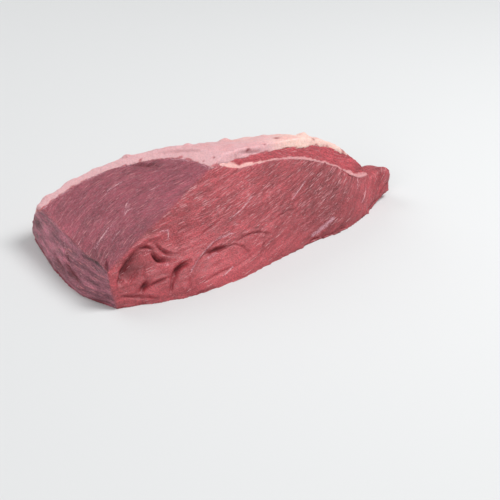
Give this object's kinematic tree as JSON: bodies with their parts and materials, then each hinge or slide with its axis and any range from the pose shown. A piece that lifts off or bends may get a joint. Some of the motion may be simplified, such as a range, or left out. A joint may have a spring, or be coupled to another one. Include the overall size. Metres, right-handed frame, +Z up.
{
  "type": "raw beef roasting joint",
  "caption": "Raw beef joint for roasting: lean muscle with a smaller cap muscle, a seam of fat between them and a fat cover, cut flat along the front and one end.",
  "frame": {"origin": "middle of the joint's box, on the surface it rests on", "axes": "+X along the long front cut towards the thin tail, +Y from the front cut towards the fat-covered back, +Z up"},
  "size_m": [0.354, 0.1964, 0.0999],
  "materials": {
    "lean": "raw lean meat, dark red, fine grained, slightly moist",
    "cap_lean": "raw lean meat, lighter red, slightly moist",
    "seam_fat": "raw fat, pinkish cream, waxy",
    "cover_fat": "raw fat, pinkish white, waxy"
  },
  "bodies": {
    "root": {"main_muscle": "lean", "cap_muscle": "cap_lean", "fat_seam": "seam_fat", "fat_cover": "cover_fat"}
  },
  "joints": []
}
